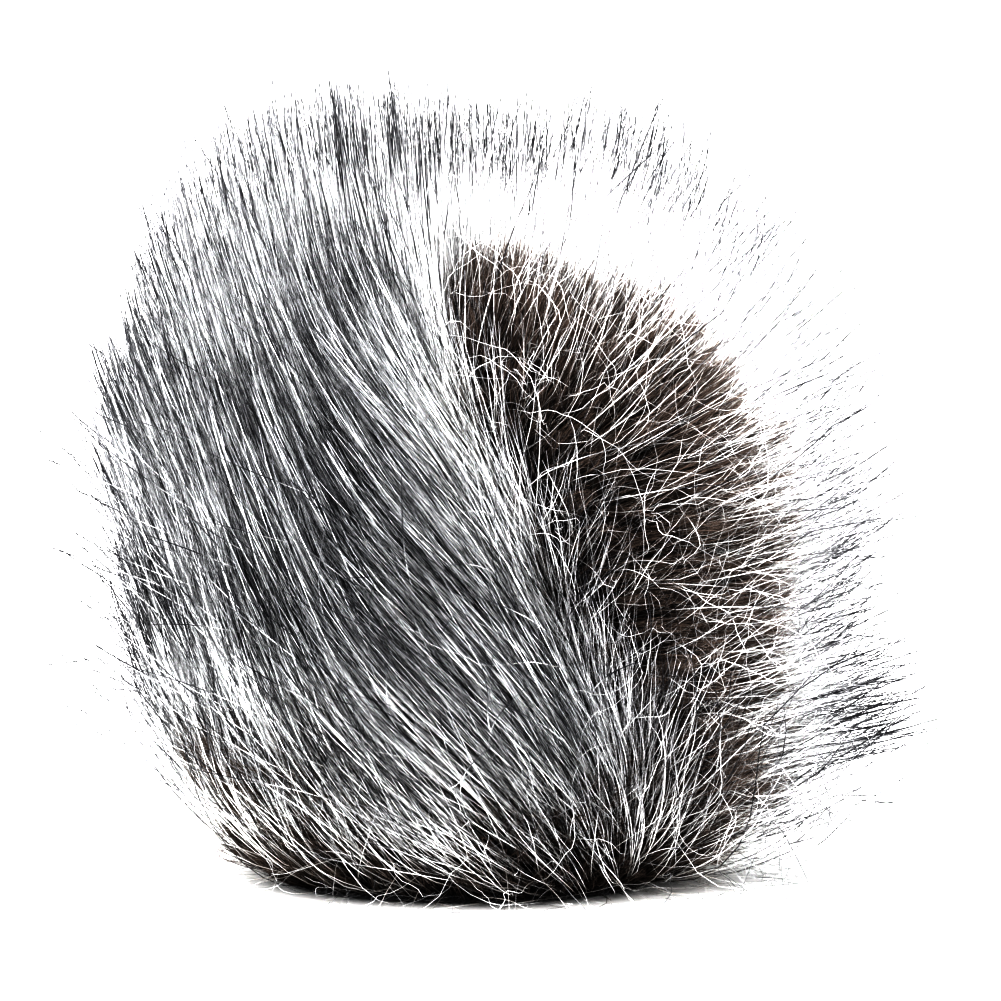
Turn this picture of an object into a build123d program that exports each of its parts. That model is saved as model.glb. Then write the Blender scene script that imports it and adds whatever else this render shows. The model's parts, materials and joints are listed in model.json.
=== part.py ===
from build123d import *
import os
from math import cos, radians, sin

# A furry windscreen: a slip-over bag of long-pile artificial fur on a domed foam
# insert, standing on its mouth. Millimetres. The axis of the bag is +Z and the
# mouth lies in z = 0, with the origin at its centre.

os.makedirs("parts", exist_ok=True)

# Foam insert
foam_radius = 16.5
foam_height = 56.0
foam_edge_round = 1.5
bore_radius = 10.0
bore_depth = 42.0
bore_lead_in = 0.8
dome_z = foam_height - foam_radius  # every dome in the bag shares this centre

# Layers of the bag, from the inside out, as the radii of their walls
lining_inner = foam_radius + 0.7
lining_wall = 0.3
stitch_thickness = 0.3
stitch_radius = lining_inner + lining_wall + 0.35
allowance_inner = stitch_radius + 0.3
allowance_wall = 0.9
backing_inner = allowance_inner + allowance_wall + 0.1
backing_wall = 1.2
backing_outer = backing_inner + backing_wall

# Pile: the space the fibres fill
pile_inner = backing_outer + 0.1
pile_radius = 42.0
pile_waist_z = 45.0
pile_height = pile_waist_z + pile_radius
pile_base_z = 0.5
pile_base_radius = 23.0

# Mouth hem and the flat elastic inside it
hem_height = 7.0
hem_inner = lining_inner + 0.2
hem_wall = 0.5
hem_cavity_top = 6.0
hem_gap = 0.2
wall_base_z = hem_height + hem_gap  # lower edge of the backing, the allowances and the lining
elastic_width = 5.0
elastic_thickness = 0.8
elastic_gap_angle = 10.0
elastic_join_angle = 9.0

# Seams: two up the sides, at -X and +X, and one round the crown
crown_angle = 45.0  # off the top, at the dome's centre
seam_gap_angle = 0.8
allowance_angle = 20.0
crown_allowance_angle = 9.0
stitch_length = 3.0
stitch_width = 0.5
stitch_pitch = 2.4
side_stitch_count = 13
crown_stitch_count = 30
hem_stitch_count = 40
hem_stitch_length = 1.5
hem_stitch_z = 6.5
bartack_length = 4.0
bartack_height = 2.6


def half_plane(azimuth):
    """The upright plane through the axis whose local x points at this azimuth."""
    turn = radians(azimuth)
    return Plane(origin=(0, 0, 0), x_dir=(cos(turn), sin(turn), 0), z_dir=(sin(turn), -cos(turn), 0))


def dome_point(radius, angle):
    """A point on the dome of this radius, at this angle off the top."""
    return (radius * sin(radians(angle)), dome_z + radius * cos(radians(angle)))


def wall(plane, inner, outer, low_z, top_angle):
    """Section of an upright wall that runs into the dome, up to top_angle off the top."""
    with BuildSketch(plane) as section:
        with BuildLine():
            Line((inner, low_z), (outer, low_z))
            Line((outer, low_z), (outer, dome_z))
            CenterArc((0, dome_z), outer, 0, 90 - top_angle)
            Line(dome_point(outer, top_angle), dome_point(inner, top_angle))
            CenterArc((0, dome_z), inner, 0, 90 - top_angle)
            Line((inner, dome_z), (inner, low_z))
        make_face()
    return section.sketch


def rim(inner, outer, high_angle, low_angle):
    """Section of a dome between two angles off the top."""
    with BuildSketch(Plane.XZ) as section:
        with BuildLine():
            CenterArc((0, dome_z), outer, 90 - low_angle, low_angle - high_angle)
            Line(dome_point(outer, high_angle), dome_point(inner, high_angle))
            CenterArc((0, dome_z), inner, 90 - low_angle, low_angle - high_angle)
            Line(dome_point(inner, low_angle), dome_point(outer, low_angle))
        make_face()
    return section.sketch


def pile_section(plane, seam_angle, crown_mode):
    """Section of the pile, cut along a seam at this angle off the top: Mode.SUBTRACT takes
    the crown away and leaves the side, and Mode.INTERSECT leaves the crown alone."""
    reach = 2 * pile_height
    with BuildSketch(plane) as section:
        with BuildLine():
            Line((pile_inner, pile_base_z), (pile_base_radius, pile_base_z))
            TangentArc((pile_radius, pile_waist_z), (pile_base_radius, pile_base_z), tangent=(0, -1))
            CenterArc((0, pile_waist_z), pile_radius, 0, 90)
            Line((0, pile_height), (0, dome_z + pile_inner))
            CenterArc((0, dome_z), pile_inner, 0, 90)
            Line((pile_inner, dome_z), (pile_inner, pile_base_z))
        make_face()
        with BuildLine():
            Polyline((0, dome_z), dome_point(reach, seam_angle), (0, dome_z + reach), close=True)
        make_face(mode=crown_mode)
    return section.sketch


# Foam insert: open-cell foam with a blind hole for the microphone, open at the mouth.
with BuildPart() as foam_insert:
    with BuildSketch(Plane.XZ):
        with BuildLine():
            Line((0, 0), (foam_radius, 0))
            Line((foam_radius, 0), (foam_radius, dome_z))
            CenterArc((0, dome_z), foam_radius, 0, 90)
            Line((0, foam_height), (0, 0))
        make_face()
    revolve(axis=Axis.Z)
    fillet(foam_insert.edges().group_by(Axis.Z)[0], foam_edge_round)
    with BuildSketch(Plane.XY):
        Circle(bore_radius)
    extrude(amount=bore_depth, mode=Mode.SUBTRACT)
    mouth = foam_insert.edges().filter_by(GeomType.CIRCLE).group_by(Axis.Z)[0].sort_by(SortBy.RADIUS)[0]
    chamfer(mouth, bore_lead_in)
foam_insert.part.label = "foam_insert"
export_step(foam_insert.part, "parts/foam_insert.step")

# Pile and backing of the two side panels, which meet at the side seams.
side_arc = 180 - seam_gap_angle
for name, start in (("back", seam_gap_angle / 2), ("front", 180 + seam_gap_angle / 2)):
    with BuildPart() as pile_side:
        panel = pile_section(half_plane(start), crown_angle, Mode.SUBTRACT)
        revolve(panel, axis=Axis.Z, revolution_arc=side_arc)
    pile_side.part.label = f"pile_{name}"
    export_step(pile_side.part, f"parts/pile_{name}.step")

    with BuildPart() as backing_side:
        panel = wall(half_plane(start), backing_inner, backing_outer, wall_base_z, crown_angle)
        revolve(panel, axis=Axis.Z, revolution_arc=side_arc)
    backing_side.part.label = f"backing_{name}"
    export_step(backing_side.part, f"parts/backing_{name}.step")

# Pile and backing of the round crown panel.
crown_edge = crown_angle - seam_gap_angle
with BuildPart() as pile_crown:
    revolve(pile_section(Plane.XZ, crown_edge, Mode.INTERSECT), axis=Axis.Z)
pile_crown.part.label = "pile_crown"
export_step(pile_crown.part, "parts/pile_crown.step")

with BuildPart() as backing_crown:
    revolve(rim(backing_inner, backing_outer, 0, crown_edge), axis=Axis.Z)
backing_crown.part.label = "backing_crown"
export_step(backing_crown.part, "parts/backing_crown.step")

# Side seams: the allowances pressed flat inside the bag, with a row of overlock stitches.
allowance_outer = allowance_inner + allowance_wall
side_stitch_z = (hem_height + dome_z) / 2
for name, azimuth in (("right", 0), ("left", 180)):
    with BuildPart() as side_seam:
        start = half_plane(azimuth - allowance_angle / 2)
        strip = wall(start, allowance_inner, allowance_outer, wall_base_z, crown_angle + seam_gap_angle)
        revolve(strip, axis=Axis.Z, revolution_arc=allowance_angle)
    side_seam.part.label = f"side_seam_{name}"
    export_step(side_seam.part, f"parts/side_seam_{name}.step")

    side = cos(radians(azimuth))
    with BuildPart(Plane.YZ.offset(side * stitch_radius)) as seam_stitching:
        with Locations((0, side_stitch_z)):
            with GridLocations(0, stitch_pitch, 1, side_stitch_count):
                Box(stitch_length, stitch_width, stitch_thickness)
    seam_stitching.part.label = f"seam_stitching_{name}"
    export_step(seam_stitching.part, f"parts/seam_stitching_{name}.step")

# Crown seam: its allowance inside the dome, and the stitches across it.
with BuildPart() as crown_seam:
    band = rim(allowance_inner, allowance_outer, crown_angle - crown_allowance_angle, crown_angle)
    revolve(band, axis=Axis.Z)
crown_seam.part.label = "crown_seam"
export_step(crown_seam.part, "parts/crown_seam.step")

crown_stitch_angle = crown_angle - crown_allowance_angle / 2
crown_stitch_radius, crown_stitch_z = dome_point(stitch_radius, crown_stitch_angle)
crown_stitch_length = 2 * radians(crown_allowance_angle) * stitch_radius / 3
with BuildPart(Plane.XY.offset(crown_stitch_z)) as crown_stitching:
    with PolarLocations(crown_stitch_radius, crown_stitch_count):
        with Locations(Location((0, 0, 0), (0, crown_stitch_angle, 0))):
            Box(crown_stitch_length, stitch_width, stitch_thickness)
crown_stitching.part.label = "crown_stitching"
export_step(crown_stitching.part, "parts/crown_stitching.step")

# Lining: a thin knitted sleeve and its round top, next to the foam.
lining_outer = lining_inner + lining_wall
with BuildPart() as lining_sleeve:
    revolve(wall(Plane.XZ, lining_inner, lining_outer, wall_base_z, crown_angle), axis=Axis.Z)
lining_sleeve.part.label = "lining_sleeve"
export_step(lining_sleeve.part, "parts/lining_sleeve.step")

with BuildPart() as lining_crown:
    revolve(rim(lining_inner, lining_outer, 0, crown_edge), axis=Axis.Z)
lining_crown.part.label = "lining_crown"
export_step(lining_crown.part, "parts/lining_crown.step")

# Hem: a casing bound round the mouth, with the elastic running through it.
with BuildPart() as hem_casing:
    with BuildSketch(Plane.XZ):
        with Locations((hem_inner, 0)):
            Rectangle(backing_outer - hem_inner, hem_height, align=(Align.MIN, Align.MIN))
    revolve(axis=Axis.Z)
    fillet(hem_casing.edges().group_by(Axis.Z)[0], hem_wall)
    with BuildSketch(Plane.XZ):
        with Locations((hem_inner + hem_wall, hem_wall)):
            cavity_width = backing_outer - hem_inner - 2 * hem_wall
            Rectangle(cavity_width, hem_cavity_top - hem_wall, align=(Align.MIN, Align.MIN))
    revolve(axis=Axis.Z, mode=Mode.SUBTRACT)
hem_casing.part.label = "hem_casing"
export_step(hem_casing.part, "parts/hem_casing.step")

elastic_radius = (hem_inner + backing_outer) / 2
elastic_z = (hem_wall + hem_cavity_top) / 2
with BuildPart() as elastic_band:
    with BuildSketch(half_plane(90 + elastic_gap_angle / 2)):
        with Locations((elastic_radius, elastic_z)):
            Rectangle(elastic_thickness, elastic_width)
    revolve(axis=Axis.Z, revolution_arc=360 - elastic_gap_angle)
elastic_band.part.label = "elastic_band"
export_step(elastic_band.part, "parts/elastic_band.step")

# The lapped and sewn ends of the elastic are twice as thick as the band.
with BuildPart() as elastic_join:
    with BuildSketch(half_plane(90 - elastic_join_angle / 2)):
        with Locations((elastic_radius, elastic_z)):
            Rectangle(2 * elastic_thickness, elastic_width)
    revolve(axis=Axis.Z, revolution_arc=elastic_join_angle)
elastic_join.part.label = "elastic_join"
export_step(elastic_join.part, "parts/elastic_join.step")

# Hem stitches show inside the mouth, and a bartack closes the casing at the back.
hem_stitch_radius = hem_inner - stitch_thickness / 2 - 0.05
with BuildPart(Plane.XY.offset(hem_stitch_z)) as hem_stitching:
    with PolarLocations(hem_stitch_radius, hem_stitch_count):
        Box(stitch_thickness / 2, hem_stitch_length, stitch_width)
hem_stitching.part.label = "hem_stitching"
export_step(hem_stitching.part, "parts/hem_stitching.step")

with BuildPart(Plane.XZ.offset(-(hem_inner - stitch_thickness))) as hem_bartack:
    with Locations((0, elastic_z)):
        Box(bartack_length, bartack_height, stitch_thickness / 2)
hem_bartack.part.label = "hem_bartack"
export_step(hem_bartack.part, "parts/hem_bartack.step")
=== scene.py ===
"""A furry windscreen: a bag of long silver pile over a foam insert, standing on its mouth."""

import json
from math import cos, radians, sin

import bmesh
import bpy
import numpy as np
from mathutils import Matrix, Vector


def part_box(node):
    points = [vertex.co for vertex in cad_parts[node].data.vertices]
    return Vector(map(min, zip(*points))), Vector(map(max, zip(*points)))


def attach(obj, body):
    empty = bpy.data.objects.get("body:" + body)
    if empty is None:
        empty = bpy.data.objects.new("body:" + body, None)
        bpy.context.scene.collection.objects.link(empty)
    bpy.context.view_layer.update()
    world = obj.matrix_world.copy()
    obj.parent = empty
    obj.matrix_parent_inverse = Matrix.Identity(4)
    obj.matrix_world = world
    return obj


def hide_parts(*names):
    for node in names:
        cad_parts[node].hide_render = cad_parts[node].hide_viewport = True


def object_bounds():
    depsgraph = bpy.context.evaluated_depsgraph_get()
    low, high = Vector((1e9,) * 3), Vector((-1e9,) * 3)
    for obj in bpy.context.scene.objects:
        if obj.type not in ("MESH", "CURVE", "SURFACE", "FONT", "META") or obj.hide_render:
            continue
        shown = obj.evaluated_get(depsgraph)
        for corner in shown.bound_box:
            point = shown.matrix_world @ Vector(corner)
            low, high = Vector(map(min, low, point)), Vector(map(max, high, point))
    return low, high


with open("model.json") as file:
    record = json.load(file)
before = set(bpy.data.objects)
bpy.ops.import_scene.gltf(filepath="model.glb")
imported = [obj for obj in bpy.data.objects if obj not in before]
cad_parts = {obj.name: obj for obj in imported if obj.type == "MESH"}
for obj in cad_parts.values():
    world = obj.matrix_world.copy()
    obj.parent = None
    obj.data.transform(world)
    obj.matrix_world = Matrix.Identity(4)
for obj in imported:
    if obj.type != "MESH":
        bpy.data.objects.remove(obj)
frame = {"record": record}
cad_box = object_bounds()

MM = 0.001
UP = np.array([0.0, 0.0, 1.0])
rng = np.random.default_rng(11)

# The bag, read from the frame. Lengths are in metres.
foam_radius, _, foam_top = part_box("foam_insert")[1]
skin_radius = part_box("backing_front")[1][0]  # outside of the backing, where the pile is rooted
dome_z = foam_top - foam_radius  # every dome in the bag shares this centre
pile_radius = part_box("pile_front")[1][0]
floor_gap = 0.25 * MM
REACH = pile_radius + 11.5 * MM  # no strand goes further from the axis


def smooth(low, high, value):
    """0 below low, 1 above high and a smooth step between."""
    share = np.clip((value - low) / (high - low), 0, 1)
    return share * share * (3 - 2 * share)


def unit(vectors):
    return vectors / np.maximum(np.linalg.norm(vectors, axis=-1, keepdims=True), 1e-9)


def waves(points, size, seed, count=12):
    """Smooth noise from -1 to 1 with features of this size, at each point."""
    source = np.random.default_rng(seed)
    ways = unit(source.normal(size=(count, 3))) * source.uniform(0.6, 1.5, (count, 1)) * 2 * np.pi / size
    phase = source.uniform(0, 2 * np.pi, count)
    return np.clip(np.sin(points @ ways.T + phase).sum(axis=1) / np.sqrt(count), -1, 1)


# Roots, evenly spread over the bag


def scatter(count):
    """Roots on the bag's wall and dome: their places, outward normals and azimuths off the front."""
    wall_area = dome_z - floor_gap
    on_wall = rng.random(count) < wall_area / (wall_area + skin_radius)
    turn = rng.uniform(-np.pi, np.pi, count)
    rise = np.where(on_wall, 0.0, rng.random(count))
    flat = np.sqrt(1 - rise**2)
    normal = np.stack([flat * np.sin(turn), -flat * np.cos(turn), rise], axis=1)
    place = normal * skin_radius
    place[:, 2] += np.where(on_wall, rng.uniform(floor_gap, dome_z, count), dome_z)
    return place, normal, turn


# The way the pile lies. A parting runs down the front right: left of it the pile is
# brushed up and to the left, and right of it the pile stands out and leans right.


def parting(place, turn):
    """-1 well left of the parting to 1 well right of it, for roots on any side."""
    height = place[:, 2] / dome_z
    line = radians(64) - radians(36) * smooth(0, 0.9, height) - radians(40) * smooth(0.8, 1.6, height)
    off = (turn - line + np.pi) % (2 * np.pi) - np.pi
    back = np.abs(off) > radians(125)
    side = np.clip(off / (radians(18) - radians(9) * smooth(0, 0.6, height)), -1, 1)
    return np.where(back, np.sign(off) * np.clip((np.pi - np.abs(off)) / radians(55), 0, 1), side)


def lie(place, normal, turn):
    """Direction of each strand's root and of its tip, before any tufts or frizz."""
    right = smooth(-1, 1, parting(place, turn))[:, None]
    across = np.stack([np.cos(turn), np.sin(turn), np.zeros_like(turn)], axis=1)
    low = 1 - smooth(0.05, 0.75, place[:, 2] / dome_z)[:, None]
    front = smooth(0.0, 1.0, np.cos(turn - radians(35)))[:, None]
    top = smooth(0.2, 0.9, normal[:, 2])[:, None]
    beside = smooth(0.55, 0.95, np.cos(turn - radians(45)))[:, None]
    swept = -across * (0.04 + 0.42 * front + 0.12 * low * front + 0.65 * beside) * (1 - 0.8 * top)
    left_root = 0.90 * normal + (0.30 + 0.25 * low) * UP + 0.75 * swept
    left_tip = (0.26 - 0.14 * low) * normal + 1.0 * UP + 0.85 * swept
    right_root = 0.95 * normal + (0.10 + 0.15 * low) * UP + 0.10 * across
    right_tip = (0.80 - 0.05 * low - 0.35 * top) * normal + (0.50 - 0.05 * low + 0.45 * top) * UP
    right_tip += 0.34 * (1 - 0.6 * top) * across
    root = unit(left_root * (1 - right) + right_root * right)
    tip = unit(left_tip * (1 - right) + right_tip * right)
    return root, tip


def grow(place, root, tip, length, steps, bend=1.0):
    """Strands as rows of points, turning from the root's direction to the tip's."""
    share = (np.arange(steps) + 0.5) / steps
    turned = (share**bend)[None, :, None]
    way = unit(root[:, None] * (1 - turned) + tip[:, None] * turned)
    steps_out = way * (length / steps)[:, None, None]
    points = np.zeros((len(place), steps + 1, 3))
    points[:, 0] = place
    points[:, 1:] = place[:, None] + np.cumsum(steps_out, axis=1)
    return points


def frizz(points, size, turns):
    """Bends each strand into its own loose wave, wider towards the tip."""
    count, rows = points.shape[:2]
    share = np.linspace(0, 1, rows)[None, :]
    for _ in range(2):
        way = unit(rng.normal(size=(count, 3)))
        angle = share * rng.uniform(0.5, 1.5, (count, 1)) * turns * 2 * np.pi
        angle = angle + rng.uniform(0, 6.28, (count, 1))
        reach = np.reshape(size, (-1, 1)) * rng.uniform(0.4, 1.4, (count, 1)) * share**1.3
        points = points + (np.sin(angle) * reach)[:, :, None] * way[:, None]
    return points


def wander(place, normal, length, steps, out):
    """Crooked strands: they go straight out at first and then turn a little at random at each step."""
    count = len(place)
    points = np.zeros((count, steps + 1, 3))
    points[:, 0] = place
    way = unit(normal + 0.45 * rng.normal(size=place.shape))
    for step in range(steps):
        loose = smooth(out, out + 0.15, (step + 1) / steps)
        way = unit(way + (0.06 + 0.20 * loose) * rng.normal(size=place.shape) - 0.06 * loose * normal)
        points[:, step + 1] = points[:, step] + way * (length / steps)[:, None]
    return points


def nearest(place, centres):
    """Index of the nearest centre to each place."""
    found = np.empty(len(place), int)
    square = (centres**2).sum(axis=1)
    for start in range(0, len(place), 4096):
        block = place[start : start + 4096]
        found[start : start + 4096] = np.argmin(square - 2 * block @ centres.T, axis=1)
    return found


def tuft(points, tufts, pull, late):
    """Draws the strands of each tuft together towards their tips, as far as pull says."""
    centres = points[rng.choice(len(points), tufts, replace=False), 0]
    member = nearest(points[:, 0], centres)
    number = np.maximum(np.bincount(member, minlength=tufts), 1)
    middle = np.zeros((tufts,) + points.shape[1:])
    np.add.at(middle, member, points)
    middle /= number[:, None, None]
    share = np.linspace(0, 1, points.shape[1]) ** late
    held = (rng.uniform(pull[0], pull[1], tufts)[member][:, None] * share)[:, :, None]
    return points * (1 - held) + middle[member] * held, member


def from_core(points):
    """Offset of each point from the axis, or on the dome from its centre."""
    rise = np.maximum(points[..., 2] - dome_z, 0)
    return np.stack([points[..., 0], points[..., 1], rise], axis=-1)


def outward(points):
    """The direction away from the axis, or on the dome from its centre."""
    return unit(from_core(points))


def contain(points):
    """Shortens strands that reach too far out, and keeps them out of the bag and off the floor."""
    offset = points - points[:, :1]
    out = np.linalg.norm(points[:, :, :2], axis=2)
    least = out[:, 0]
    excess = (REACH - least) / np.maximum(out.max(axis=1) - least, 1e-9)
    points = points[:, :1] + offset * np.minimum(excess, 1)[:, None, None]
    inside = skin_radius - np.linalg.norm(from_core(points), axis=2)
    points = points + outward(points) * np.maximum(inside, 0)[:, :, None]
    points[:, :, 2] = np.maximum(points[:, :, 2], floor_gap * (1 + rng.random((len(points), 1))))
    return points


# Strands as ribbons in one mesh

WIDTH_AT = (0.0, 0.15, 0.5, 0.8, 1.0)


def ribbons(name, points, width, profile, tint):
    """One mesh of flat tapering ribbons. Its UV map holds the place along the strand and its tint."""
    count, rows = points.shape[:2]
    share = np.linspace(0, 1, rows)
    along = unit(np.gradient(points, axis=1))
    spun = unit(rng.normal(size=(count, 3)))[:, None]
    sideways = unit(np.cross(along, spun))
    half = 0.5 * width[:, None] * np.interp(share, WIDTH_AT, profile)[None, :]
    edge = sideways * half[:, :, None]
    corners = np.stack([points - edge, points + edge], axis=2)
    first = (np.arange(count) * rows * 2)[:, None] + np.arange(rows - 1)[None, :] * 2
    quads = np.stack([first, first + 1, first + 3, first + 2], axis=2).reshape(-1, 4)
    mesh = bpy.data.meshes.new(name)
    mesh.vertices.add(count * rows * 2)
    mesh.vertices.foreach_set("co", corners.astype(np.float32).ravel())
    mesh.loops.add(quads.size)
    mesh.loops.foreach_set("vertex_index", quads.astype(np.int32).ravel())
    mesh.polygons.add(len(quads))
    mesh.polygons.foreach_set("loop_start", np.arange(0, quads.size, 4, dtype=np.int32))
    mesh.polygons.foreach_set("use_smooth", np.ones(len(quads), bool))
    mesh.update(calc_edges=True)
    grid = np.empty((count, rows, 2, 2), np.float32)
    grid[..., 0] = share[None, :, None]
    grid[..., 1] = 0.004 + 0.988 * tint[:, None, None] + np.array([0.0, 0.004])
    layer = mesh.uv_layers.new(name="OFBake")
    layer.data.foreach_set("uv", grid.reshape(-1, 2)[quads.ravel()].ravel())
    piece = bpy.data.objects.new(name, mesh)
    bpy.context.collection.objects.link(piece)
    return piece


# Materials


def new_material(name, roughness, specular=0.5):
    material = bpy.data.materials.new(name)
    material.use_nodes = True
    shader = material.node_tree.nodes["Principled BSDF"]
    shader.inputs["Roughness"].default_value = roughness
    shader.inputs["Specular IOR Level"].default_value = specular
    return material, material.node_tree, shader


def ramp(tree, source, stops):
    node = tree.nodes.new("ShaderNodeValToRGB")
    node.color_ramp.interpolation = "EASE"
    while len(node.color_ramp.elements) < len(stops):
        node.color_ramp.elements.new(0.5)
    for element, (place, colour) in zip(node.color_ramp.elements, stops):
        element.position = place
        element.color = (*colour, 1)
    tree.links.new(source, node.inputs["Fac"])
    return node.outputs["Color"]


def strand_material(name, kinds, roughness):
    """Colour along the strand for each kind of strand, from tint 0 to tint 1 and mixed between."""
    material, tree, shader = new_material(name, roughness)
    uv = tree.nodes.new("ShaderNodeUVMap")
    uv.uv_map = "OFBake"
    split = tree.nodes.new("ShaderNodeSeparateXYZ")
    tree.links.new(uv.outputs["UV"], split.inputs["Vector"])
    colour = ramp(tree, split.outputs["X"], kinds[0])
    for index, stops in enumerate(kinds[1:]):
        share = tree.nodes.new("ShaderNodeMapRange")
        share.inputs["From Min"].default_value = index / (len(kinds) - 1)
        share.inputs["From Max"].default_value = (index + 1) / (len(kinds) - 1)
        tree.links.new(split.outputs["Y"], share.inputs["Value"])
        mix = tree.nodes.new("ShaderNodeMix")
        mix.data_type = "RGBA"
        tree.links.new(share.outputs["Result"], mix.inputs["Factor"])
        tree.links.new(colour, mix.inputs["A"])
        tree.links.new(ramp(tree, split.outputs["X"], stops), mix.inputs["B"])
        colour = mix.outputs["Result"]
    tree.links.new(colour, shader.inputs["Base Color"])
    return material


guard_material = strand_material(
    "guard_hair",
    kinds=(
        (
            (0.0, (0.035, 0.028, 0.024)),
            (0.30, (0.045, 0.039, 0.036)),
            (0.55, (0.060, 0.057, 0.057)),
            (0.72, (0.012, 0.012, 0.013)),
            (1.0, (0.006, 0.006, 0.007)),
        ),
        (
            (0.0, (0.10, 0.085, 0.075)),
            (0.22, (0.55, 0.53, 0.51)),
            (0.38, (0.95, 0.95, 0.95)),
            (0.60, (0.93, 0.93, 0.94)),
            (0.76, (0.03, 0.03, 0.035)),
        ),
        (
            (0.0, (0.16, 0.14, 0.12)),
            (0.22, (0.60, 0.58, 0.56)),
            (0.45, (0.96, 0.96, 0.96)),
            (0.85, (0.92, 0.92, 0.93)),
            (1.0, (0.62, 0.62, 0.64)),
        ),
    ),
    roughness=0.38,
)
under_material = strand_material(
    "underfur",
    kinds=(
        (
            (0.0, (0.024, 0.018, 0.014)),
            (0.6, (0.070, 0.054, 0.044)),
            (1.0, (0.150, 0.118, 0.098)),
        ),
        (
            (0.0, (0.046, 0.036, 0.030)),
            (0.6, (0.150, 0.122, 0.107)),
            (1.0, (0.32, 0.270, 0.240)),
        ),
    ),
    roughness=0.6,
)

# Guard hair


def sorts(count, shares):
    """Tints of three sorts of strand, dark, dark-tipped and light, in these shares."""
    pick = rng.random(count)
    within = rng.random(count)
    dark = 0.30 * within
    tipped = 0.40 + 0.20 * within
    light = 0.75 + 0.25 * within
    return np.where(pick < shares[0], dark, np.where(pick < shares[0] + shares[1], tipped, light))


def bare(place, normal, turn):
    """How far the pile is blown open: 1 right of the parting, where the underfur shows, and 0 elsewhere."""
    side = parting(place, turn)
    middle = radians(75) - radians(32) * smooth(0.8, 1.4, place[:, 2] / dome_z)
    off = (turn - middle + np.pi) % (2 * np.pi) - np.pi
    span = 1 - smooth(radians(45), radians(75), np.abs(off))
    height = smooth(0.0, 0.45, place[:, 2] / dome_z) * (1 - smooth(0.75, 0.95, normal[:, 2]))
    return smooth(-0.5, 0.3, side) * span * (0.75 + 0.25 * height)


def zone(place, normal, turn):
    """Which panel each root is on: the crown, or a sector of the front or the back."""
    crown = normal[:, 2] > cos(radians(45))
    sector = np.floor((np.degrees(turn) + 180) / 60).astype(int) % 6
    return np.where(crown, 6, sector)


ZONE_NAME = ("back_left", "left", "front_left", "front_right", "right", "back_right", "crown")


def place_strands(kind, points, width, profile, tint, zones, material, largest=12000):
    """Splits strands by zone, into pieces small enough to export, and mounts them on the cover."""
    pieces = []
    for index, label in enumerate(ZONE_NAME):
        chosen = np.flatnonzero(zones == index)
        if not len(chosen):
            continue
        parts = -(-len(chosen) // largest)
        for part, block in enumerate(np.array_split(chosen, parts)):
            name = f"{kind}_{label}" + (f"_{part + 1}" if parts > 1 else "")
            piece = ribbons(name, points[block], width[block], profile, tint[block])
            piece.data.materials.append(material)
            panel = "crown" if label == "crown" else ("back" if "back" in label else "front")
            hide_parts(f"pile_{panel}")
            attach(piece, "fur_cover")
            pieces.append(piece)
    return pieces


def guard_layer(kind, count, lengths, crown_scale, kept, tufts, pull, width, shares, seed):
    """One layer of guard hair, with lengths and width in millimetres. kept is the share left
    where the pile is blown open: in front, towards the side and on the crown. shares are those
    of dark and dark-tipped strands."""
    place, normal, turn = scatter(count)
    open_share = bare(place, normal, turn)
    aside = smooth(radians(55), radians(85), turn)
    crown = smooth(0.25, 0.85, normal[:, 2])
    crown_right = crown * smooth(-0.45, 0.15, normal[:, 0])
    uneven = 1.2 + 1.4 * crown
    crown *= 1 - 0.5 * smooth(0.0, 0.55, -normal[:, 0])
    foot = 1 - smooth(0.05, 0.45, place[:, 2] / dome_z)
    sparse = 1 - 0.65 * (1 - smooth(0.25, 0.85, place[:, 2] / dome_z))
    open_lost = 1 - (kept[0] + (kept[1] - kept[0]) * aside) * sparse
    lost = np.maximum.reduce([open_lost * open_share, (1 - kept[2]) * crown_right, 0.72 * foot**2])
    stays = rng.random(count) > lost
    place, normal, turn, open_share, crown, foot, uneven = (
        values[stays] for values in (place, normal, turn, open_share, crown, foot, uneven)
    )
    number = len(place)
    root, tip = lie(place, normal, turn)
    spread = rng.random(number) ** uneven
    length = (lengths[0] + (lengths[1] - lengths[0]) * spread) * (1 + (crown_scale - 1) * crown)
    shoulder = smooth(0.1, 0.6, np.abs(normal[:, 0])) * smooth(0.1, 0.6, normal[:, 2])
    shoulder *= 0.12 + 0.08 * smooth(0, 0.4, normal[:, 0])
    length *= (1 + 0.07 * waves(place, 16 * MM, seed) + shoulder) * MM
    messy = 1 + 2.5 * np.maximum(open_share, 0.6 * (1 - smooth(0, 0.25, place[:, 2] / dome_z)))
    root = unit(root + rng.normal(scale=0.10, size=root.shape) * messy[:, None])
    tip = unit(tip + rng.normal(scale=0.12, size=tip.shape) * messy[:, None])
    points = grow(place, root, tip, length, 8, bend=0.8)
    points, member = tuft(points, tufts, pull, 1.6)
    points = frizz(points, 0.35 * MM * messy, 0.8)
    points = contain(points)
    tint = sorts(number, shares) + 0.07 * rng.normal(size=tufts)[member]
    tint += 0.03 + 0.06 * smooth(0.4, 0.9, -normal[:, 0])
    tint = np.clip(tint - 0.06 * waves(place, 18 * MM, seed + 1) - 0.24 * foot**2, 0, 1)
    width = width * MM * rng.uniform(0.7, 1.15, number) * (1 - 0.35 * open_share * (1 - aside[stays]))
    place_strands(kind, points, width, GUARD_PROFILE, tint, zone(place, normal, turn), guard_material)


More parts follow.
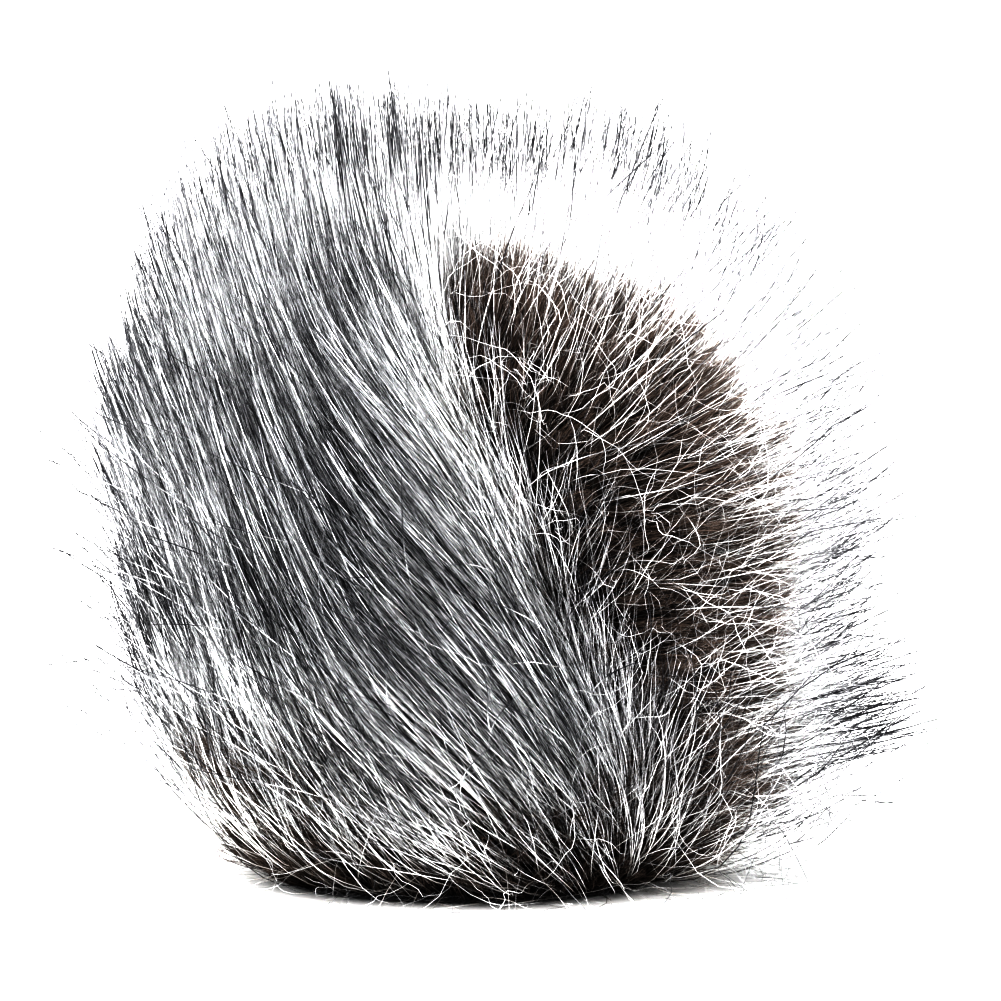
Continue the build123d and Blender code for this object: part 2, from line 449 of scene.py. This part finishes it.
GUARD_PROFILE = (0.6, 0.9, 1.0, 0.9, 0.4)
guard_layer(
    "guard_hair", count=104000, lengths=(17, 28), crown_scale=0.52, kept=(0.03, 0.07, 0.25),
    tufts=3900, pull=(0.1, 0.45), width=0.098, shares=(0.18, 0.14), seed=3,
)
guard_layer(
    "awn_hair", count=18000, lengths=(27, 36), crown_scale=0.95, kept=(0.10, 0.95, 1.0),
    tufts=950, pull=(0.3, 0.85), width=0.12, shares=(0.14, 0.60), seed=31,
)

# Underfur

UNDER_COUNT = 80000
place, normal, turn = scatter(UNDER_COUNT)
root, tip = lie(place, normal, turn)
open_share = bare(place, normal, turn)
foot = 1 - smooth(0, 0.3, place[:, 2] / dome_z)
crown = smooth(0.2, 0.9, normal[:, 2])
under_length = (12 + 4.5 * open_share - 4 * crown + 2.0 * waves(place, 9 * MM, 21)) * (1 - 0.4 * foot) * MM
under_length *= rng.uniform(0.7, 1.1, UNDER_COUNT)
root = unit(normal + 0.25 * root + 0.5 * foot[:, None] * UP + rng.normal(scale=0.16, size=root.shape))
tip = unit(1.0 * normal + 0.55 * tip + rng.normal(scale=0.22, size=tip.shape))
points = grow(place, root, tip, under_length, 5)
points, _ = tuft(points, 1800, (0.35, 0.85), 1.5)
points = frizz(points, 0.45 * MM, 1.4)
points = contain(points)
tint = np.clip(0.12 + 0.38 * open_share + 0.12 * foot + 0.22 * rng.normal(size=UNDER_COUNT), 0, 1)
place_strands(
    "underfur",
    points,
    0.13 * MM * rng.uniform(0.7, 1.2, UNDER_COUNT),
    (1.0, 1.0, 0.9, 0.6, 0.2),
    tint,
    zone(place, normal, turn),
    under_material,
    largest=19000,
)

# Loose strands: fine curly ones over the bare side, and a few that stray all round

CURLY_COUNT = 1300
place, normal, turn = scatter(3 * CURLY_COUNT)
low = 0.58 * (1 - smooth(0.0, 0.4, place[:, 2] / dome_z))
wanted = np.maximum(bare(place, normal, turn), low) - 0.45 * rng.random(3 * CURLY_COUNT)
chosen = np.argsort(-wanted)[:CURLY_COUNT]
place, normal, turn = place[chosen], normal[chosen], turn[chosen]
points = contain(wander(place, normal, rng.uniform(22, 38, CURLY_COUNT) * MM, 26, 0.35))
place_strands(
    "curly_hair",
    points,
    0.075 * MM * rng.uniform(0.5, 1.1, CURLY_COUNT),
    (0.9, 1.0, 1.0, 0.8, 0.4),
    np.clip(rng.uniform(0.5, 1.0, CURLY_COUNT) - 0.5 * low[chosen], 0, 1),
    zone(place, normal, turn),
    guard_material,
)

# One stiff dark-tipped lock that sticks out low on the right

LOCK_COUNT = 150
LOCK_TURN = radians(80)
turn = LOCK_TURN + rng.normal(scale=0.22, size=LOCK_COUNT)
normal = np.stack([np.sin(turn), -np.cos(turn), np.zeros(LOCK_COUNT)], axis=1)
place = normal * skin_radius + UP * (0.40 * dome_z + rng.normal(scale=3.5 * MM, size=(LOCK_COUNT, 1)))
lock_way = np.array([0.95, -0.20, 0.10])
root = unit(lock_way + 0.2 * rng.normal(size=place.shape))
tip = unit(lock_way + 0.25 * UP + 0.22 * rng.normal(size=place.shape))
points = grow(place, root, tip, rng.uniform(24, 38, LOCK_COUNT) * MM, 8)
points, _ = tuft(points, 9, (0.3, 0.7), 1.3)
points = contain(frizz(points, 0.9 * MM, 0.7))
place_strands(
    "lock_hair",
    points,
    0.13 * MM * rng.uniform(0.7, 1.1, LOCK_COUNT),
    GUARD_PROFILE,
    rng.uniform(0.25, 0.5, LOCK_COUNT),
    np.full(LOCK_COUNT, ZONE_NAME.index("right")),
    guard_material,
)

STRAY_COUNT = 1100
place, normal, turn = scatter(STRAY_COUNT)
root, tip = lie(place, normal, turn)
tip = unit(tip + 0.8 * normal + 0.45 * rng.normal(size=tip.shape))
points = grow(place, root, tip, rng.uniform(26, 36, STRAY_COUNT) * MM, 10)
points = frizz(points, 0.8 * MM, 0.7)
points = contain(points)
place_strands(
    "stray_hair",
    points,
    0.11 * MM * rng.uniform(0.7, 1.2, STRAY_COUNT),
    GUARD_PROFILE,
    rng.uniform(0.3, 0.6, STRAY_COUNT),
    zone(place, normal, turn),
    guard_material,
)

# Foam, cloth, elastic and thread inside the bag: surfaces turned round the axis and tubes


# Cells per metre of the noise in the surfaces
FIBRE_SCALE = 900
PATCH_SCALE = 110
PORE_SCALE = 1500


def maths(tree, operation, *values):
    """A Math node with these values or sockets on its inputs."""
    node = tree.nodes.new("ShaderNodeMath")
    node.operation = operation
    for socket, value in zip(node.inputs, values):
        if isinstance(value, (int, float)):
            socket.default_value = value
        else:
            tree.links.new(value, socket)
    return node.outputs["Value"]


def knit(tree, across, along):
    """Wales of small V-shaped stitches, from 0 in the gaps to 1 on the yarn."""
    wale, course = 0.9, 0.75
    column = maths(tree, "ABSOLUTE", maths(tree, "SINE", maths(tree, "MULTIPLY", across, np.pi / wale)))
    slant = maths(tree, "MULTIPLY_ADD", maths(tree, "PINGPONG", across, wale / 2), 0.8, along)
    row = maths(tree, "SINE", maths(tree, "MULTIPLY", slant, 2 * np.pi / course))
    return maths(tree, "MULTIPLY", column, maths(tree, "MULTIPLY_ADD", row, 0.3, 0.7))


def net(tree, across, along):
    """A fine mesh with a small round hole in each cell."""
    cell = 1.1
    column = maths(tree, "ABSOLUTE", maths(tree, "SINE", maths(tree, "MULTIPLY", across, np.pi / cell)))
    odd = maths(tree, "MULTIPLY", maths(tree, "FLOOR", maths(tree, "DIVIDE", across, cell)), cell / 2)
    shifted = maths(tree, "MULTIPLY", maths(tree, "ADD", along, odd), np.pi / cell)
    row = maths(tree, "ABSOLUTE", maths(tree, "SINE", shifted))
    return maths(tree, "SUBTRACT", 1.0, maths(tree, "POWER", maths(tree, "MULTIPLY", column, row), 3.0))


def twill(tree, across, along):
    """Slanting ribs, each crossed by fine threads."""
    rib, thread = 0.8, 0.27
    slant = maths(tree, "MULTIPLY", maths(tree, "ADD", across, along), np.pi / rib)
    cross = maths(tree, "MULTIPLY", maths(tree, "SUBTRACT", across, along), 2 * np.pi / thread)
    raised = maths(tree, "ABSOLUTE", maths(tree, "SINE", slant))
    threads = maths(tree, "MULTIPLY_ADD", maths(tree, "SINE", cross), 0.15, 0.85)
    return maths(tree, "MULTIPLY", raised, threads)


def braid(tree, across, along):
    """The ribs along an elastic, each crossed by picks that are offset from its neighbour's."""
    rib, pick = 0.7, 0.5
    ribs = maths(tree, "ABSOLUTE", maths(tree, "SINE", maths(tree, "MULTIPLY", along, np.pi / rib)))
    odd = maths(tree, "MULTIPLY", maths(tree, "FLOOR", maths(tree, "DIVIDE", along, rib)), pick / 2)
    shifted = maths(tree, "MULTIPLY", maths(tree, "ADD", across, odd), 2 * np.pi / pick)
    picks = maths(tree, "MULTIPLY_ADD", maths(tree, "SINE", shifted), 0.25, 0.75)
    return maths(tree, "MULTIPLY", ribs, picks)


def plies(tree, along, around):
    """The slanting plies of a twisted thread."""
    lay = 0.5
    turned_by = maths(tree, "ADD", maths(tree, "DIVIDE", along, lay), maths(tree, "MULTIPLY", around, 3.0))
    return maths(tree, "ABSOLUTE", maths(tree, "SINE", maths(tree, "MULTIPLY", turned_by, np.pi)))


def finish_surface(tree, shader, relief, dark, light, roughness, depth):
    """Colour, roughness and bump from a relief of 0 to 1, all broken up by noise. The colour is darker
    where the relief is low: painted shade in the gaps of a weave and the pores of foam.
    """
    place = tree.nodes.new("ShaderNodeTexCoord").outputs["Object"]
    noise = tree.nodes.new("ShaderNodeTexNoise")
    noise.inputs["Scale"].default_value = FIBRE_SCALE
    noise.inputs["Detail"].default_value = 4
    tree.links.new(place, noise.inputs["Vector"])
    patches = tree.nodes.new("ShaderNodeTexNoise")
    patches.inputs["Scale"].default_value = PATCH_SCALE
    tree.links.new(place, patches.inputs["Vector"])
    worn = maths(tree, "MULTIPLY_ADD", patches.outputs["Fac"], 0.5, -0.25)
    # The relief plus fibre noise. As colour, its low places are painted shade in the gaps and pores; as
    # bump, it is the height.
    fuzz_and_gap_shade = maths(tree, "MULTIPLY_ADD", noise.outputs["Fac"], 0.35, maths(tree, "MULTIPLY", relief, 0.8))
    # Painted shade: the colour darkens with the relief. The fibre noise and the patches are the surface's
    # own uneven tone.
    colour = ramp(tree, maths(tree, "ADD", fuzz_and_gap_shade, worn), ((0.1, dark), (1.0, light)))
    tree.links.new(colour, shader.inputs["Base Color"])
    rough = maths(tree, "MULTIPLY_ADD", noise.outputs["Fac"], 0.25, roughness - 0.15)
    tree.links.new(rough, shader.inputs["Roughness"])
    bump = tree.nodes.new("ShaderNodeBump")
    bump.inputs["Strength"].default_value = 0.9
    bump.inputs["Distance"].default_value = depth
    tree.links.new(fuzz_and_gap_shade, bump.inputs["Height"])
    tree.links.new(bump.outputs["Normal"], shader.inputs["Normal"])
    shader.inputs["Sheen Weight"].default_value = 0.25


def cloth_material(name, weave, dark, light, roughness=0.85, depth=0.12 * MM):
    """Cloth or thread whose weave follows the piece's own map, in millimetres."""
    material, tree, shader = new_material(name, roughness, 0.3)
    uv = tree.nodes.new("ShaderNodeUVMap")
    uv.uv_map = "Cloth"
    split = tree.nodes.new("ShaderNodeSeparateXYZ")
    tree.links.new(uv.outputs["UV"], split.inputs["Vector"])
    relief = weave(tree, split.outputs["X"], split.outputs["Y"])
    finish_surface(tree, shader, relief, dark, light, roughness, depth)
    return material


def foam_material(name):
    """Open-cell foam: pale struts, with painted shade darkening the pores between them."""
    material, tree, shader = new_material(name, 0.9, 0.25)
    cells = tree.nodes.new("ShaderNodeTexVoronoi")
    cells.feature = "DISTANCE_TO_EDGE"
    cells.inputs["Scale"].default_value = PORE_SCALE
    tree.links.new(tree.nodes.new("ShaderNodeTexCoord").outputs["Object"], cells.inputs["Vector"])
    struts = maths(tree, "SUBTRACT", 1.0, maths(tree, "MULTIPLY", cells.outputs["Distance"], 3.2))
    relief = maths(tree, "MAXIMUM", struts, 0.0)
    # The darkest colour is painted shade in the pores; the pale one is the struts.
    finish_surface(tree, shader, relief, (0.004, 0.004, 0.005), (0.085, 0.085, 0.09), 0.92, 0.25 * MM)
    return material


def line(start, end, gap):
    """Points of an outline from start to end, as (radius, height)."""
    count = max(1, round(float(np.hypot(end[0] - start[0], end[1] - start[1])) / gap))
    return np.linspace(start, end, count + 1)


def arc(centre, radius, first, last, gap):
    """Points of a round stretch of outline, between two angles off the top."""
    angle = np.linspace(first, last, max(1, round(abs(last - first) * radius / gap)) + 1)
    return np.stack([centre[0] + radius * np.sin(angle), centre[1] + radius * np.cos(angle)], axis=1)


def rounded(low, high, corner, gap):
    """The closed outline of a box with round corners."""
    quarter = np.pi / 2
    turns = ((high, -1, -1), ((high[0], low[1]), -1, 1), (low, 1, 1), ((low[0], high[1]), 1, -1))
    runs = [
        arc((at[0] + right * corner, at[1] + up * corner), corner, k * quarter, (k + 1) * quarter, gap)
        for k, (at, right, up) in enumerate(turns)
    ]
    sides = [line(runs[k][-1], runs[(k + 1) % 4][0], gap)[1:-1] for k in range(4)]
    return np.vstack([part for pair in zip(runs, sides) for part in pair])


def dome_shell(outer, wall, high_angle, low_angle, low_z, gap):
    """The closed outline of a cloth wall on the dome, which runs down to low_z if that isn't None."""
    sides = []
    for radius in (outer, outer - wall):
        side = arc((0, dome_z), radius, high_angle, low_angle, gap)
        if low_z is not None:
            side = np.vstack([side, line((radius, dome_z), (radius, low_z), gap)[1:]])
        sides.append(side)
    return np.vstack([sides[0], sides[1][::-1]])


def rumpled(depth, size, seed):
    """A shape that moves the points of a cloth in and out in soft waves."""
    return lambda points: points + outward(points) * (depth * waves(points, size, seed))[:, None]


def solid(name, points, faces, corners, shape=None):
    """A closed mesh from points, faces and a map in millimetres, with its faces turned outward."""
    if shape:
        points = shape(points)
    mesh = bpy.data.meshes.new(name)
    mesh.from_pydata(points.tolist(), [], faces)
    mesh.uv_layers.new(name="Cloth").data.foreach_set("uv", np.asarray(corners, np.float32).ravel())
    work = bmesh.new()
    work.from_mesh(mesh)
    bmesh.ops.remove_doubles(work, verts=work.verts, dist=1e-7)
    bmesh.ops.delete(work, geom=[edge for edge in work.edges if not edge.link_faces], context="EDGES")
    if work.calc_volume(signed=True) < 0:
        bmesh.ops.reverse_faces(work, faces=work.faces)
    work.to_mesh(mesh)
    work.free()
    mesh.polygons.foreach_set("use_smooth", np.ones(len(mesh.polygons), bool))
    piece = bpy.data.objects.new(name, mesh)
    bpy.context.collection.objects.link(piece)
    return piece


def turned(name, loops, gap, span=(-np.pi, np.pi), shape=None):
    """A closed mesh turned round the axis from outlines, over a span of azimuths off the front."""
    whole = span[1] - span[0] > 2 * np.pi - 1e-6
    widest = max(float(loop[:, 0].max()) for loop in loops)
    columns = int(np.ceil((span[1] - span[0]) * widest / gap))
    angles = np.linspace(span[0], span[1], columns + 1)
    used = angles[:-1] if whole else angles
    points, faces, corners = [], [], []
    for loop in loops:
        first, rows = len(points), len(loop)
        on_axis = loop[0, 0] < 1e-9 and loop[-1, 0] < 1e-9
        steps = np.linalg.norm(np.diff(np.vstack([loop, loop[:1]]), axis=0), axis=1)
        run = np.concatenate([[0], np.cumsum(steps)]) / MM
        for angle in used:
            points += [(r * np.sin(angle), -r * np.cos(angle), z) for r, z in loop]
        for column in range(columns):
            left, right = first + column * rows, first + (column + 1) % len(used) * rows
            around = angles[column] * widest / MM, angles[column + 1] * widest / MM
            for row in range(rows - 1 if on_axis else rows):
                after = (row + 1) % rows
                faces.append((left + row, right + row, right + after, left + after))
                low, high = run[row], run[row + 1]
                corners += [(around[0], low), (around[1], low), (around[1], high), (around[0], high)]
        if not whole:
            last = first + columns * rows
            faces += [tuple(range(first, first + rows)), tuple(range(last + rows - 1, last - 1, -1))]
            ends = [(r / MM, z / MM) for r, z in loop]
            corners += ends + ends[::-1]
    return solid(name, np.array(points), faces, corners, shape)


def tubes(name, paths, radius, sides=8):
    """Closed round threads along these paths, in one mesh."""
    points, faces, corners = [], [], []
    for path in paths:
        first, rows = len(points), len(path)
        along = unit(np.gradient(path, axis=0))
        side = unit(np.cross(along, UP + 0.01))
        up = np.cross(side, along)
        run = np.concatenate([[0], np.cumsum(np.linalg.norm(np.diff(path, axis=0), axis=1))]) / MM
        for angle in 2 * np.pi * np.arange(sides) / sides:
            points += list(path + radius * (cos(angle) * side + sin(angle) * up))
        for k in range(sides):
            here, there = first + k * rows, first + (k + 1) % sides * rows
            for row in range(rows - 1):
                faces.append((here + row, there + row, there + row + 1, here + row + 1))
                low, high = run[row], run[row + 1]
                near, far = k / sides, (k + 1) / sides
                corners += [(low, near), (low, far), (high, far), (high, near)]
        starts = [first + k * rows for k in range(sides)]
        faces += [tuple(starts), tuple(start + rows - 1 for start in reversed(starts))]
        corners += [(0, k / sides) for k in range(sides)]
        corners += [(run[-1], k / sides) for k in reversed(range(sides))]
    return solid(name, np.array(points), faces, corners)


def stand_in(piece, node, body, material):
    """Puts a piece in the place of the CAD node that it stands for."""
    piece.data.materials.append(material)
    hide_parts(node)
    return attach(piece, body)


# Foam insert

mic_bore = next(mount for mount in frame["record"]["mounts"] if mount["name"] == "mic_bore")
bore_radius = mic_bore["dims"]["r_mm"] * MM
bore_top = mic_bore["pos_m"][2] + mic_bore["dims"]["length_mm"] * MM / 2
FOAM_GAP = 0.6 * MM
FOAM_EDGE = 1.5 * MM
BORE_LEAD_IN = 0.8 * MM


def cellular(points):
    """Small pits and a slight unevenness, as the skin of cut foam has."""
    pits = 0.10 * waves(points, 1.7 * MM, 41, 30) + 0.06 * waves(points, 6 * MM, 42)
    return points + outward(points) * (MM * pits)[:, None] * (points[:, 2:] > FOAM_EDGE)


foam_outline = np.vstack(
    [
        arc((0, dome_z), foam_radius, 0, np.pi / 2, FOAM_GAP),
        line((foam_radius, dome_z), (foam_radius, FOAM_EDGE), FOAM_GAP)[1:],
        arc((foam_radius - FOAM_EDGE, FOAM_EDGE), FOAM_EDGE, np.pi / 2, np.pi, FOAM_GAP)[1:],
        line((foam_radius - FOAM_EDGE, 0), (bore_radius + BORE_LEAD_IN, 0), FOAM_GAP)[1:],
        line((bore_radius + BORE_LEAD_IN, 0), (bore_radius, BORE_LEAD_IN), FOAM_GAP)[1:],
        line((bore_radius, BORE_LEAD_IN), (bore_radius, bore_top), FOAM_GAP)[1:],
        line((bore_radius, bore_top), (0, bore_top), FOAM_GAP)[1:],
    ]
)
foam = turned("foam_block", [foam_outline], FOAM_GAP, shape=cellular)
stand_in(foam, "foam_insert", "foam", foam_material("open_cell_foam"))

# Lining and backing: the cloth walls, each a closed shell with soft waves in it

CLOTH_GAP = 1.0 * MM
CROWN_ANGLE = radians(45)
SEAM_GAP = radians(0.8)
ALLOWANCE_HALF = radians(10)
CROWN_ALLOWANCE = radians(9)
LINING_WALL = 0.3 * MM
BACKING_WALL = 1.2 * MM
ALLOWANCE_WALL = 0.9 * MM
cloth_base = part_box("lining_sleeve")[0][2]
lining_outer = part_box("lining_sleeve")[1][0]
allowance_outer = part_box("side_seam_right")[1][0]

# The first colour of each cloth goes to the gaps of its weave as painted shade; the second is the yarn.
backing_cloth = cloth_material("backing_knit", knit, (0.035, 0.030, 0.027), (0.17, 0.155, 0.14))
allowance_cloth = cloth_material("allowance_knit", knit, (0.045, 0.040, 0.036), (0.20, 0.185, 0.17), 0.9)
lining_cloth = cloth_material("lining_net", net, (0.004, 0.004, 0.005), (0.065, 0.065, 0.072), 0.7)


def cloth(node, material, outer, wall, angles, low_z, span, depth, seed):
    shell = dome_shell(outer, wall, *angles, low_z, CLOTH_GAP)
    piece = turned(f"{node}_cloth", [shell], CLOTH_GAP, span, rumpled(depth, 7 * MM, seed))
    return stand_in(piece, node, "fur_cover", material)


ALL_ROUND = (-np.pi, np.pi)
SIDE_ANGLES = (CROWN_ANGLE, np.pi / 2)
CROWN_ANGLES = (0, CROWN_ANGLE - SEAM_GAP)
LINING_WAVE = 0.10 * MM
BACKING_WAVE = 0.04 * MM
sleeve = cloth(
    "lining_sleeve", lining_cloth, lining_outer, LINING_WALL, SIDE_ANGLES, cloth_base,
    ALL_ROUND, LINING_WAVE, 51,
)
lining_top = cloth(
    "lining_crown", lining_cloth, lining_outer, LINING_WALL, CROWN_ANGLES, None,
    ALL_ROUND, LINING_WAVE, 51,
)

for label, centre in (("right", np.pi / 2), ("left", -np.pi / 2)):
    cloth(
        f"side_seam_{label}", allowance_cloth, allowance_outer, ALLOWANCE_WALL,
        (CROWN_ANGLE + SEAM_GAP, np.pi / 2), cloth_base, (centre - ALLOWANCE_HALF, centre + ALLOWANCE_HALF),
        BACKING_WAVE, 52,
    )
crown_allowance = cloth(
    "crown_seam", allowance_cloth, allowance_outer, ALLOWANCE_WALL,
    (CROWN_ANGLE - CROWN_ALLOWANCE, CROWN_ANGLE), None, ALL_ROUND, BACKING_WAVE, 52,
)
for label, centre in (("front", 0.0), ("back", np.pi)):
    half_turn = np.pi / 2 - SEAM_GAP / 2
    panel = cloth(
        f"backing_{label}", backing_cloth, skin_radius, BACKING_WALL, SIDE_ANGLES,
        cloth_base, (centre - half_turn, centre + half_turn), BACKING_WAVE, 53,
    )
backing_top = cloth(
    "backing_crown", backing_cloth, skin_radius, BACKING_WALL, CROWN_ANGLES, None, ALL_ROUND,
    BACKING_WAVE, 53,
)

# Hem: the tape is gathered into puckers by the elastic inside it

hem_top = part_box("hem_casing")[1][2]
hem_inner = lining_outer - 0.1 * MM
TAPE_WALL = 0.5 * MM
CAVITY_TOP = 6.0 * MM
HEM_CORNER = 0.5 * MM
CAVITY_CORNER = 0.2 * MM
HEM_GAP = 0.45 * MM
hem_middle = (hem_inner + skin_radius) / 2
PUCKERS = 27
OUTER_PUCKER = 0.42 * MM
INNER_PUCKER = 0.07 * MM
PUCKER_LIFT = 0.25 * MM


def gathered(points):
    """Puckers the hem, mostly on its outside, and a little up off its lower edge."""
    radius = np.hypot(points[:, 0], points[:, 1])
    turn = np.arctan2(points[:, 0], -points[:, 1])
    pucker = 0.5 + 0.5 * np.sin(PUCKERS * turn + 1.6 * np.sin(3 * turn) + 0.9 * np.sin(7 * turn))
    push = np.where(radius > hem_middle, OUTER_PUCKER, INNER_PUCKER) * pucker
    lift = PUCKER_LIFT * pucker * (points[:, 2] < TAPE_WALL / 2)
    return points * (1 + np.stack([push / radius, push / radius, 0 * push], axis=1)) + UP * lift[:, None]


# The darker colour of the tape is painted shade between its ribs.
tape = cloth_material("hem_twill", twill, (0.006, 0.006, 0.007), (0.060, 0.060, 0.066), 0.75)
casing = rounded((hem_inner, 0), (skin_radius, hem_top), HEM_CORNER, HEM_GAP)
cavity_high = (skin_radius - TAPE_WALL, CAVITY_TOP)
cavity = rounded((hem_inner + TAPE_WALL, TAPE_WALL), cavity_high, CAVITY_CORNER, HEM_GAP)
hem = turned("hem_casing_tape", [casing, cavity[::-1]], HEM_GAP, shape=gathered)
stand_in(hem, "hem_casing", "fur_cover", tape)

# The darker colour of the elastic is painted shade between its ribs.
elastic = cloth_material("elastic_braid", braid, (0.008, 0.008, 0.009), (0.10, 0.10, 0.105), 0.8)
ELASTIC_THICKNESS = 0.8 * MM
ELASTIC_CORNER = 0.25 * MM
BAND_END = np.pi - radians(5)
LAP_HALF = radians(4.5)
LAP_OFFSET = 0.99 * ELASTIC_THICKNESS / 2  # of each lapped end from the middle of the hem
band_low, band_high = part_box("elastic_band")
strap_low = (hem_middle - ELASTIC_THICKNESS / 2, band_low[2])
strap_high = (hem_middle + ELASTIC_THICKNESS / 2, band_high[2])
strap = rounded(strap_low, strap_high, ELASTIC_CORNER, HEM_GAP)
band = turned("elastic_band_braid", [strap], HEM_GAP, (-BAND_END, BAND_END))
stand_in(band, "elastic_band", "fur_cover", elastic)
lapped = [strap - (LAP_OFFSET, 0), strap + (LAP_OFFSET, 0)]
join = turned("elastic_join_braid", lapped, HEM_GAP, (np.pi - LAP_HALF, np.pi + LAP_HALF))
stand_in(join, "elastic_join", "fur_cover", elastic)

# Thread

# The darker colour of the thread is painted shade between its plies.
thread = cloth_material(
    "polyester_thread", plies, (0.010, 0.010, 0.011), (0.085, 0.085, 0.09), 0.6, 0.03 * MM
)
THREAD_RADIUS = 0.14 * MM
STITCH_INSET = 0.15 * MM
SIDE_ZIGZAGS = 13
CROWN_ZIGZAGS = 30
TACK_ZIGZAGS = 11
CROWN_SPAN = 0.998 * np.pi  # how far the crown's thread runs each way round from the front


def on_dome(radius, angle, turn):
    flat = radius * np.sin(angle)
    return np.stack([flat * np.sin(turn), -flat * np.cos(turn), dome_z + radius * np.cos(angle)], axis=-1)


def zigzag(count, steps=8):
    """A zigzag with round corners: its progress from 0 to 1 and its sideways swing from -1 to 1."""
    share = np.linspace(0, 1, count * steps + 1)
    swing = np.clip(1.25 * np.sin(2 * np.pi * count * share), -1, 1)
    return share, swing


for label, side in (("right", 1), ("left", -1)):
    node = f"seam_stitching_{label}"
    low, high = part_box(node)
    share, swing = zigzag(SIDE_ZIGZAGS)
    path = np.stack(
        [
            np.full_like(share, (low[0] + high[0]) / 2) + side * 0.05 * MM * np.cos(np.pi * swing),
            swing * (high[1] - THREAD_RADIUS),
            low[2] + share * (high[2] - low[2]),
        ],
        axis=1,
    )
    stand_in(tubes(f"{node}_thread", [path], THREAD_RADIUS), node, "fur_cover", thread)

stitch_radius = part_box("seam_stitching_right")[0][0] + STITCH_INSET
share, swing = zigzag(CROWN_ZIGZAGS)
crown_path = on_dome(
    stitch_radius,
    CROWN_ANGLE - CROWN_ALLOWANCE / 2 + swing * CROWN_ALLOWANCE / 3,
    CROWN_SPAN * (2 * share - 1),
)
crown_thread = tubes("crown_stitching_thread", [crown_path], THREAD_RADIUS)
stand_in(crown_thread, "crown_stitching", "fur_cover", thread)

HEM_STITCHES = 40
HEM_STITCH = 1.5 * MM
FINE_THREAD = 0.09 * MM
hem_low, hem_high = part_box("hem_stitching")
stitch_at = np.linspace(-0.5, 0.5, 9)
hem_paths = []
for turn in 2 * np.pi * np.arange(HEM_STITCHES) / HEM_STITCHES:
    reach = hem_high[0] - FINE_THREAD + 0.35 * MM * (2 * np.abs(stitch_at)) ** 4
    angle = turn + stitch_at * HEM_STITCH / hem_high[0]
    height = np.full_like(angle, (hem_low[2] + hem_high[2]) / 2)
    hem_paths.append(np.stack([reach * np.sin(angle), -reach * np.cos(angle), height], axis=1))
hem_thread = tubes("hem_stitching_thread", hem_paths, FINE_THREAD)
stand_in(hem_thread, "hem_stitching", "fur_cover", thread)

low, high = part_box("hem_bartack")
share, swing = zigzag(TACK_ZIGZAGS, 12)
tack = np.stack(
    [
        low[0] + FINE_THREAD + share * (high[0] - low[0] - 2 * FINE_THREAD),
        np.full_like(share, (low[1] + high[1]) / 2),
        (low[2] + high[2]) / 2 + swing * ((high[2] - low[2]) / 2 - FINE_THREAD),
    ],
    axis=1,
)
tack_thread = tubes("hem_bartack_thread", [tack], FINE_THREAD)
stand_in(tack_thread, "hem_bartack", "fur_cover", thread)

# Floor, light and camera

FLOOR_HALF = 6.0
floor_mesh = bpy.data.meshes.new("floor")
floor_corners = [(FLOOR_HALF * x, FLOOR_HALF * y, 0) for x, y in ((-1, -1), (1, -1), (1, 1), (-1, 1))]
floor_mesh.from_pydata(floor_corners, [], [(0, 1, 2, 3)])
floor = bpy.data.objects.new("floor", floor_mesh)
bpy.context.collection.objects.link(floor)
floor_material, _, floor_shader = new_material("floor_paper", 0.9, 0.1)
floor_shader.inputs["Base Color"].default_value = (0.93, 0.93, 0.93, 1)
floor_mesh.materials.append(floor_material)

world = bpy.data.worlds.new("studio")
world.use_nodes = True
world.node_tree.nodes["Background"].inputs["Color"].default_value = (1, 1, 1, 1)
world.node_tree.nodes["Background"].inputs["Strength"].default_value = 1.15
scene = bpy.context.scene
scene.world = world
scene.view_settings.view_transform = "Standard"
scene.view_settings.gamma = 0.40
scene.view_settings.exposure = 1.44


def soft_light(name, place, aim, size, power):
    light = bpy.data.lights.new(name, "AREA")
    light.shape = "DISK"
    light.size = size
    light.energy = power
    lamp = bpy.data.objects.new(name, light)
    lamp.location = place
    lamp.rotation_euler = (Vector(aim) - Vector(place)).to_track_quat("-Z", "Y").to_euler()
    bpy.context.collection.objects.link(lamp)


middle = (0, 0, float(cad_box[1][2]) / 2)
soft_light("key", (-0.35, -0.6, 0.9), middle, 1.2, 6)

SENSOR_MM = 36
CAMERA_FAR = 0.60
CAMERA_RISE = radians(3.5)
FRAME_WIDTH = 0.1095
camera_data = bpy.data.cameras.new("camera")
camera_data.sensor_width = SENSOR_MM
camera_data.lens = SENSOR_MM * CAMERA_FAR / FRAME_WIDTH
camera_data.clip_start = 0.01
camera = bpy.data.objects.new("camera", camera_data)
aim = Vector((3.6 * MM, 0, 41.7 * MM))
camera.location = aim + CAMERA_FAR * Vector((0, -cos(CAMERA_RISE), sin(CAMERA_RISE)))
camera.rotation_euler = (aim - camera.location).to_track_quat("-Z", "Y").to_euler()
bpy.context.collection.objects.link(camera)
scene.camera = camera
